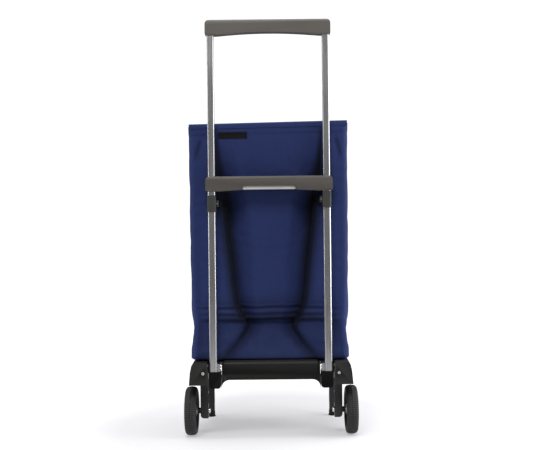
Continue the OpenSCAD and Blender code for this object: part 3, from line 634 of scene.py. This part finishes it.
def settle(points, faces, pins):
    """Hangs the cloth for a few frames under gravity, held where pins is 1. The result is the mesh itself."""
    mesh = bpy.data.meshes.new("cloth")
    mesh.from_pydata([tuple(p) for p in points], [], faces)
    made = bpy.data.objects.new("cloth", mesh)
    bpy.context.scene.collection.objects.link(made)
    group = made.vertex_groups.new(name="pins")
    for i, weight in enumerate(pins):
        group.add([i], float(weight), "REPLACE")
    cloth = made.modifiers.new("cloth", "CLOTH")
    cloth.point_cache.frame_start, cloth.point_cache.frame_end = 1, SETTLE_FRAMES
    settings = cloth.settings
    settings.quality = 6
    settings.mass = 0.25
    settings.tension_stiffness = settings.compression_stiffness = 18
    settings.shear_stiffness = 8
    settings.bending_stiffness = 1.2
    settings.air_damping = 2
    settings.shrink_min = -0.012
    settings.vertex_group_mass = "pins"
    settings.pin_stiffness = 1
    cloth.collision_settings.use_self_collision = False
    scene = bpy.context.scene
    for step in range(1, SETTLE_FRAMES + 1):
        scene.frame_set(step)
    graph = bpy.context.evaluated_depsgraph_get()
    hung = made.evaluated_get(graph).to_mesh()
    settled = np.array([v.co for v in hung.vertices])
    scene.frame_set(1)
    bpy.data.objects.remove(made)
    moved = np.linalg.norm(settled - points, axis=1)
    if not np.isfinite(settled).all() or moved.max() > 40 * MM:
        return points
    return settled


shell = BagShell()
shell.shape()
rows, columns = shell.points.shape[:2]
wall_faces = grid_faces(rows, columns, True)
height = (shell.heights - BAG_BOTTOM) / (BAG_RIM - BAG_BOTTOM)
held = np.clip(np.maximum(1 - height / 0.05, (height - 0.955) / 0.01), 0, 1)
on_back = (shell.side_of == "back")[None, :] * np.ones((rows, 1))
near_folds = np.exp(-((shell.heights - FOLD_Z) / (40 * MM)) ** 2)[:, None] * on_back
corner_seam = (shell.side_of == "corner")[None, :] * 0.5
pins = np.maximum(np.maximum(held[:, None], 0.9 * near_folds), np.maximum(corner_seam, 0.35 * on_back))
shell.points = settle(shell.points.reshape(-1, 3), wall_faces, pins.ravel()).reshape(rows, columns, 3)
shell.wrinkle()
shell.hem()

rings = shell.floor_rings()
bag_points = np.concatenate([rings.reshape(-1, 3), shell.points.reshape(-1, 3), [rings[0].mean(0)]])
bag_faces = grid_faces(len(rings) + rows, columns, True)
bag_faces += [((c + 1) % columns, c, len(bag_points) - 1) for c in range(columns)]
wall_uvs = shell.uvs()
bag_uvs = [(u, BAG_BOTTOM - (len(rings) - k) * 20 * MM)
           for k in range(len(rings)) for u, _ in wall_uvs[:columns]]
bag_uvs += wall_uvs + [(0, BAG_BOTTOM - 150 * MM)]
bag = piece("bag_shell", bag_points, bag_faces, "bag_fabric", "frame", ["bag_body"], uvs=bag_uvs)
unhung = BagShell()
on_back = (unhung.side_of == "back")[None, :] * np.ones((rows, 1))
# painted shade on the back wall, from where its points lie before the cloth hangs
wall_shade = on_back * fold_shade(unhung.points[:, :, 0], unhung.points[:, :, 2])
mark(bag, "fold_shade", np.concatenate([np.zeros(len(rings) * columns), wall_shade.ravel(), [0]]))
modifier(bag, "SOLIDIFY", thickness=1.4 * MM, offset=-1)
modifier(bag, "SUBSURF", levels=1, render_levels=1)
apply_modifiers(bag)
bag.data.shade_smooth()
bag_tree = BVHTree.FromPolygons([v.co for v in bag.data.vertices], [p.vertices for p in bag.data.polygons])


def hang_flat(obj):
    """Gives the bag, or a piece sewn to it, its own copy of its mesh."""
    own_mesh(obj)


hang_flat(bag)
girth = float(np.linalg.norm(np.roll(shell.points[rows // 2], -1, 0) - shell.points[rows // 2], axis=1).sum())
wall_height = BAG_RIM - BAG_BOTTOM
depth_across = float(bag_front(BAG_BOTTOM) - BAG_BACK)


# ---------------------------------------------------------------- what is sewn to the bag

def back_surface(x, z):
    """Where the bag's back is behind [x, z]."""
    return bag_tree.ray_cast(Vector((x, TUBE_Y - 0.2, z)), Vector((0, 1, 0)))[0]


def stitches(name, path, body, closed=False, pitch=4.4 * MM, length=3.0 * MM, radius=0.45 * MM):
    """A row of stitches along a path of [point, outward normal]: each one a short arched thread."""
    arch = ((0, -0.2, 0.45), (0.2, 0.35, 0.95), (0.8, 0.35, 0.95), (1, -0.2, 0.45))   # along, lift, fatness
    points = [Vector(p) for p, _ in path]
    normals = [Vector(n) for _, n in path]
    if closed:
        points.append(points[0])
        normals.append(normals[0])
    runs = np.concatenate([[0], np.cumsum([(b - a).length for a, b in zip(points, points[1:])])])

    def at(s):
        k = min(int(np.searchsorted(runs, s, side="right")) - 1, len(points) - 2)
        t = (s - runs[k]) / max(runs[k + 1] - runs[k], 1e-9)
        return points[k].lerp(points[k + 1], t), normals[k].lerp(normals[k + 1], t).normalized()

    verts, faces = [], []
    sides = 5
    for i in range(int(runs[-1] / pitch)):
        first = len(verts)
        for j, (along, lift, fat) in enumerate(arch):
            here, out = at(i * pitch + along * length)
            ahead, _ = at(min(i * pitch + along * length + 0.3 * MM, runs[-1]))
            forward = (ahead - here).normalized()
            across = forward.cross(out).normalized()
            centre = here + out * lift * radius
            for k in range(sides):
                a = 2 * math.pi * k / sides
                verts.append(centre + (across * math.cos(a) + out * math.sin(a) * 0.8) * radius * fat)
            if j:
                for k in range(sides):
                    m = (k + 1) % sides
                    base = first + (j - 1) * sides
                    faces.append((base + k, base + m, base + sides + m, base + sides + k))
        faces.append(tuple(range(first, first + sides))[::-1])
        faces.append(tuple(range(len(verts) - sides, len(verts))))
    return piece(name, verts, faces, "bag_fabric", body, uvs=[(v.x, v.z) for v in verts], material=THREAD)


def patch(name, points, n_rows, n_columns, slot, body, thickness, replaces=()):
    """A small piece of cloth from a grid of points, with its edges turned round."""
    low = np.array(points[0])
    uvs = [(p[0] - low[0], p[2] - low[2] + p[1] - low[1]) for p in points]
    made = piece(name, points, grid_faces(n_rows, n_columns, False), slot, body, replaces, uvs=uvs)
    modifier(made, "SOLIDIFY", thickness=thickness, offset=0)
    modifier(made, "BEVEL", width=thickness * 0.3, segments=2, limit_method="ANGLE",
             angle_limit=math.radians(50))
    apply_modifiers(made)
    made.data.shade_smooth()
    return made


def label_patch():
    """The blank label, sewn on so that it follows the cloth, with a row of stitches inside its edge."""
    n_across, n_up = 30, 8
    points = []
    for r in range(n_up + 1):
        for c in range(n_across + 1):
            x = label_low.x + (label_high.x - label_low.x) * c / n_across
            z = label_low.z + (label_high.z - label_low.z) * r / n_up
            points.append(back_surface(x, z) + Vector((0, -0.7 * MM, 0)))
    made = patch("label_patch", points, n_up + 1, n_across + 1, "label_fabric", "frame", 0.7 * MM,
                 ["bag_label"])
    inset = 1.6 * MM
    x0, x1 = label_low.x + inset, label_high.x - inset
    z0, z1 = label_low.z + inset, label_high.z - inset
    corners = [(x0, z0), (x1, z0), (x1, z1), (x0, z1)]
    path = []
    for (xa, za), (xb, zb) in zip(corners, corners[1:] + corners[:1]):
        for k in range(12):
            place = back_surface(xa + (xb - xa) * k / 12, za + (zb - za) * k / 12)
            path.append((place + Vector((0, -1.15 * MM, 0)), (0, -1, 0)))
    return [made, stitches("label_stitches", path, "frame", True, 2.6 * MM, 1.7 * MM, 0.22 * MM)]


TABS_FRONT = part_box("bag_tabs")[1].y


def tab_strap(side, sign):
    """Webbing from the collar's stud to the bag's back, with the same painted shade as the tuck behind it."""
    collar_low, collar_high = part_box("collar_" + side)
    near = TABS_FRONT
    half = 6.5 * MM
    lug_x = TUBE_X - 14 * MM
    z = (collar_low.z + collar_high.z) / 2 + 0.5 * MM
    # each place: how far in from the lug, and the share of the way back to the cloth
    course = [(-4, 0.0), (3, 0.0), (8, 0.15), (13, 0.5), (17, 0.9), (20, 1.0), (27, 1.0)]
    fine = np.linspace(0, len(course) - 1, 22)
    xs = np.interp(fine, range(len(course)), [lug_x - inward * MM for inward, _ in course])
    shares = np.interp(fine, range(len(course)), [share for _, share in course])
    points = []
    for x, share in zip(xs, shares):
        for k in range(5):
            height = z + half * (k / 2 - 1)
            far = back_surface(sign * x, height).y - 1.0 * MM
            points.append(Vector((sign * x, near + (far - near) * share, height)))
    strap = patch(f"tab_strap_{side}", points, len(xs), 5, "webbing", "frame", 1.3 * MM,
                  ["bag_tabs"] if sign > 0 else ())
    # painted shade over the whole strap
    mark(strap, "fold_shade", np.full(len(strap.data.vertices), 0.9))
    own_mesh(strap)
    return strap


def hem_stitches():
    """The hem's seam all round the bag, a stitch row over the drawn-in line."""
    seam = int(np.argmin(np.abs(shell.heights - (BAG_RIM - SEAM_DROP))))
    path = []
    for place in shell.points[seam]:
        spot, normal, _, _ = bag_tree.find_nearest(Vector(place))
        path.append((spot + normal * 0.1 * MM, normal))
    return stitches("hem_stitches", path, "frame", True)


def hem_sleeve():
    """The inner layer of the rear hem, which goes round the stiff bar."""
    bar_low, bar_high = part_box("hem_bar")
    wall = BAG_BACK + 3.2 * MM
    top = BAG_RIM - 2 * MM
    inner = bar_high.y + 1.2 * MM
    profile = [(wall, top), (wall + 2.2 * MM, top + 0.6 * MM), (inner, top - 5 * MM),
               (inner + 0.8 * MM, bar_high.z), (inner + 0.8 * MM, bar_low.z),
               (inner - 1.5 * MM, bar_low.z - 4 * MM), (wall + 2.6 * MM, bar_low.z - 8 * MM)]
    n_across = 60
    points = []
    for y, z in profile:
        for c in range(n_across + 1):
            x = bar_low.x + (bar_high.x - bar_low.x) * c / n_across
            points.append(Vector((x, y, z + RIM_RISE * x / bag_high.x * (z > bar_high.z))))
    return patch("hem_sleeve", points, len(profile), n_across + 1, "bag_fabric", "frame", 1.0 * MM)


label = label_patch()
straps = [tab_strap("left", -1), tab_strap("right", 1)]
flattened = [*label, hem_stitches(), hem_sleeve()]
for trim in flattened:
    hang_flat(trim)
girth * wall_height + depth_across * 2 * float(bag_half_width(BAG_BOTTOM))


# ---------------------------------------------------------------- lid

def lid_sheet():
    """One sheet: the top over the rim, sagging in the middle, and the front flap that hangs from it."""
    half = (lid_high.x - lid_low.x) / 2
    left = -half - LEFT_BULGE
    y0, y1 = lid_low.y, lid_high.y
    top = lid_high.z
    r = 7 * MM                              # of the bend over the bag's front rim
    run_top = y1 - y0 - r
    run_bend = r * math.pi / 2
    run_flap = lid_high.z - lid_low.z - r
    total = run_top + run_bend + run_flap
    n_along, n_across = 90, 60
    points, uvs = [], []
    for i in range(n_along + 1):
        s = total * i / n_along
        if s < run_top:
            y, z = y0 + s, top
        elif s < run_top + run_bend:
            a = (s - run_top) / r
            y, z = y1 - r + r * math.sin(a), top - r + r * math.cos(a)
        else:
            y, z = y1, top - r - (s - run_top - run_bend)
        for j in range(n_across + 1):
            x = left + (half - left) * j / n_across
            tilt = RIM_RISE * x / half
            if s < run_top:
                along = math.sin(math.pi * s / run_top)
                sag = 6 * MM * (1 - (x / half) ** 2) * along ** 0.7
                sag += 5 * MM * (1 - (x / half) ** 4) * along ** 0.4
                sag += 1.2 * MM * rumple((x, y, 0), (0.06, 0.06, 1), 5.0) * along
                clear = 1.5 * MM * (1 + x / half) * (1 - s / run_top)   # of the raised rim, as the lid opens
                points.append((x, y + clear, z + tilt - max(0, sag)))
            else:
                sway = 1.0 * MM * (1 + rumple((x, 0, z), (0.05, 1, 0.09), 8.0))
                sway *= min(1, (s - run_top) / (20 * MM))
                points.append((x, y - sway, z + tilt))
            uvs.append((x, s))
    made = piece("bag_lid_cover", points, grid_faces(n_along + 1, n_across + 1, False), "bag_fabric", "lid",
                 ["bag_lid"], uvs=uvs)
    modifier(made, "SOLIDIFY", thickness=2.2 * MM, offset=-1)
    modifier(made, "BEVEL", width=0.8 * MM, segments=2, limit_method="ANGLE", angle_limit=math.radians(50))
    apply_modifiers(made)
    made.data.shade_smooth()
    hang_flat(made)


lid_sheet()


def lid_hinge_cloth():
    """The strip of cloth that joins the lid to the bag's rear rim, taken off the body it is made on."""
    half = (lid_high.x - lid_low.x) / 2 - 1 * MM
    hinge_y, top = lid_low.y, lid_high.z
    profile = [(BAG_BACK - 0.9 * MM, BAG_RIM - 9 * MM), (BAG_BACK - 1.1 * MM, BAG_RIM - 3 * MM),
               (BAG_BACK - 1.0 * MM, BAG_RIM + 0.5 * MM), (BAG_BACK - 0.5 * MM, top - 1.6 * MM),
               (hinge_y - 0.4 * MM, top + 0.1 * MM), (hinge_y + 2.5 * MM, top + 0.7 * MM),
               (hinge_y + 10 * MM, top + 0.5 * MM)]
    n_across = 80
    left = -half - LEFT_BULGE
    xs = [left + (half - left) * c / n_across for c in range(n_across + 1)]
    points = [Vector((x, y, z + RIM_RISE * x / half)) for y, z in profile for x in xs]
    uvs = [(p.x, p.z + p.y) for p in points]
    made = piece("lid_hinge_cloth", points, grid_faces(len(profile), n_across + 1, False), "bag_fabric",
                 "frame", uvs=uvs)
    modifier(made, "SOLIDIFY", thickness=0.9 * MM, offset=0)
    modifier(made, "SUBSURF", levels=1, render_levels=1)
    apply_modifiers(made)
    made.data.shade_smooth()
    free(made)
    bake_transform(made)


def free(obj):
    """Takes a piece off the body that it rides."""
    world = obj.matrix_world.copy()
    obj.parent = None
    obj.matrix_world = world
    del obj["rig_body"]


def press_stud(name, centre, profile, body, stands_for):
    """A small turned press stud that faces the front, from a profile of [radius, height]."""
    steps = 32
    turns = [2 * math.pi * k / steps for k in range(steps)]
    points = [centre + Vector((r * math.cos(a), h, r * math.sin(a))) for r, h in profile for a in turns]
    faces = grid_faces(len(profile), steps, True)
    faces += [tuple(range(steps)), tuple(range(len(points) - steps, len(points)))[::-1]]
    hang_flat(piece(name, points, faces, "snap_metal", body, stands_for))


SOCKET_PROFILE = [(6, 0), (6, 0.5), (5.2, 1.0), (3.4, 1.0), (3.0, 0.4), (1.8, 0.4), (1.2, 1.1)]
CAP_PROFILE = [(7, 0), (7, 0.6), (6.2, 1.2), (4.0, 1.7), (1.5, 1.9)]
for node_name, body, profile in (("snap_sockets", "frame", SOCKET_PROFILE),
                                 ("snap_caps", "lid", CAP_PROFILE)):
    low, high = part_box(node_name)
    for sign in (-1, 1):
        reach = high.x - (high.z - low.z) / 2
        spot = Vector((sign * reach, low.y, (low.z + high.z) / 2))
        press_stud(f"{node_name}_{'left' if sign < 0 else 'right'}", spot,
                   [(r * MM, h * MM) for r, h in profile], body, [node_name] if sign > 0 else [])

lid_hinge_cloth()


# ---------------------------------------------------------------- tyres

def tyre(side):
    """A solid tyre: rounded section, a ridge round its middle, and fine ribs across the tread."""
    low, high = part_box(f"tyre_{side}")
    cx, cy, cz = (low + high) / 2
    outer, half = (high.z - low.z) / 2, (high.x - low.x) / 2
    inner = 44 * MM                         # where the tyre meets the wheel's centre
    ribs, per_rib = 72, 4
    profile = []
    r = 9 * MM                              # of the shoulder between wall and tread
    for k in range(9):
        a = math.radians(180 - 90 * k / 8)
        profile.append((-half + r + r * math.cos(a), outer - 1 * MM - r + r * math.sin(a)))
    profile = [(-half + 4 * MM, inner), (-half, inner + 4 * MM), (-half, outer - r - 4 * MM)] + profile
    profile += [(x * MM, outer - d * MM) for x, d in ((-4, 0.55), (-1.6, 0.5), (-1.0, 0.05))]
    profile += [(-x, radius) for x, radius in reversed(profile)]
    n = len(profile)
    steps = ribs * per_rib
    points, rib_crest_highlight = [], []
    for s in range(steps):
        a = 2 * math.pi * s / steps
        groove = 1.0 * MM if s % per_rib == 0 else 0.0
        for x, radius in profile:
            on_tread = smooth_step((radius - (outer - 9 * MM)) / (5 * MM)) * (abs(x) > 1.2 * MM)
            q = radius - groove * float(on_tread)
            points.append((cx + x, cy + q * math.sin(a), cz + q * math.cos(a)))
            # the crest of each rib is marked for a painted highlight
            rib_crest_highlight.append(float(on_tread) if s % per_rib == 2 else 0.0)
    faces = []
    for s in range(steps):
        t = (s + 1) % steps
        for k in range(n):
            m = (k + 1) % n
            faces.append((s * n + k, s * n + m, t * n + m, t * n + k))
    mark(piece(f"tyre_tread_{side}", points, faces, "tyre_rubber", f"wheel_{side}", [f"tyre_{side}"]),
         "rib_crest_highlight", rib_crest_highlight)


for side in ("left", "right"):
    tyre(side)


# ---------------------------------------------------------------- stage, light, camera

def floor_material():
    """A pale floor under the trolley that brightens outwards by a painted glow, and gives way to the plain
    white surround.
    """
    f = Finish("floor_white", 0.9)
    f.shader.inputs["Base Color"].default_value = (0.5, 0.5, 0.515, 1)
    f.shader.inputs["Emission Color"].default_value = (0.98, 0.98, 1, 1)
    f.shader.inputs["Specular IOR Level"].default_value = 0.0
    # painted light: the floor glows, more strongly the farther it is from the middle
    away = f.node("ShaderNodeVectorMath", {0: f.place}, operation="LENGTH").outputs["Value"]
    f.link(f.spread(away, 0.37, 0.95, 0.4, 1.05), "Emission Strength")
    gone = f.node("ShaderNodeBsdfTransparent").outputs[0]
    fade = f.spread(away, 0.0, 1.0, 0.75, 1.15)
    mixed = f.node("ShaderNodeMixShader", {0: fade, 1: f.shader.outputs[0], 2: gone}).outputs[0]
    f.tree.links.new(mixed, f.tree.nodes["Material Output"].inputs["Surface"])
    return f.material


FLOOR_REACH = 40
floor_mesh = bpy.data.meshes.new("floor")
floor_corners = ((-1, -1), (1, -1), (1, 1), (-1, 1))
floor_mesh.from_pydata([(x * FLOOR_REACH, y * FLOOR_REACH, 0) for x, y in floor_corners], [], [(0, 1, 2, 3)])
floor = bpy.data.objects.new("floor", floor_mesh)
bpy.context.scene.collection.objects.link(floor)
floor_mesh.materials.append(floor_material())


def white_surround(ambient, seen):
    """A plain white world: it lights the object by one strength and shows as background by another."""
    world = bpy.data.worlds.new("studio")
    bpy.context.scene.world = world
    world.use_nodes = True
    tree = world.node_tree
    fill = tree.nodes["Background"]
    backdrop = tree.nodes.new("ShaderNodeBackground")
    for shader, strength in ((fill, ambient), (backdrop, seen)):
        shader.inputs["Color"].default_value = (1, 1, 1, 1)
        shader.inputs["Strength"].default_value = strength
    choose = tree.nodes.new("ShaderNodeMixShader")
    rays = tree.nodes.new("ShaderNodeLightPath")
    tree.links.new(rays.outputs["Is Camera Ray"], choose.inputs[0])
    tree.links.new(fill.outputs[0], choose.inputs[1])
    tree.links.new(backdrop.outputs[0], choose.inputs[2])
    tree.links.new(choose.outputs[0], tree.nodes["World Output"].inputs[0])


white_surround(ambient=0.2, seen=1.1)


def soft_light(name, place, target, width, height, power):
    """A rectangular softbox at a place, turned towards the target."""
    light = bpy.data.lights.new(name, "AREA")
    light.shape = "RECTANGLE"
    light.size, light.size_y = width, height
    light.energy = power
    made = bpy.data.objects.new(name, light)
    bpy.context.scene.collection.objects.link(made)
    made.location = place
    made.rotation_euler = (Vector(target) - Vector(place)).to_track_quat("-Z", "Y").to_euler()


middle = (0, 0, 0.55)
soft_light("light_front", (-0.5, -2.6, 3.2), middle, 1.5, 1.2, 76)
soft_light("light_left", (-1.9, TUBE_Y - 0.1, 0.9), middle, 0.7, 1.8, 14)
soft_light("light_right", (1.7, TUBE_Y - 0.05, 0.9), middle, 1.8, 1.8, 40)
soft_light("light_top", (0, 0.2, 3.2), middle, 2.6, 2.6, 62)

CAMERA_DISTANCE = 2.2              # from the tubes
CAMERA_HEIGHT = 0.5415
CAMERA_ROLL = math.radians(0.6)
camera_data = bpy.data.cameras.new("camera")
camera_data.sensor_width = 36
camera_data.lens = 56.92
camera = bpy.data.objects.new("camera", camera_data)
bpy.context.scene.collection.objects.link(camera)
camera.location = (13.9 * MM, TUBE_Y - CAMERA_DISTANCE, CAMERA_HEIGHT)
camera.rotation_euler = (math.radians(90), CAMERA_ROLL, 0)
bpy.context.scene.camera = camera
bpy.context.scene.view_settings.view_transform = "Standard"
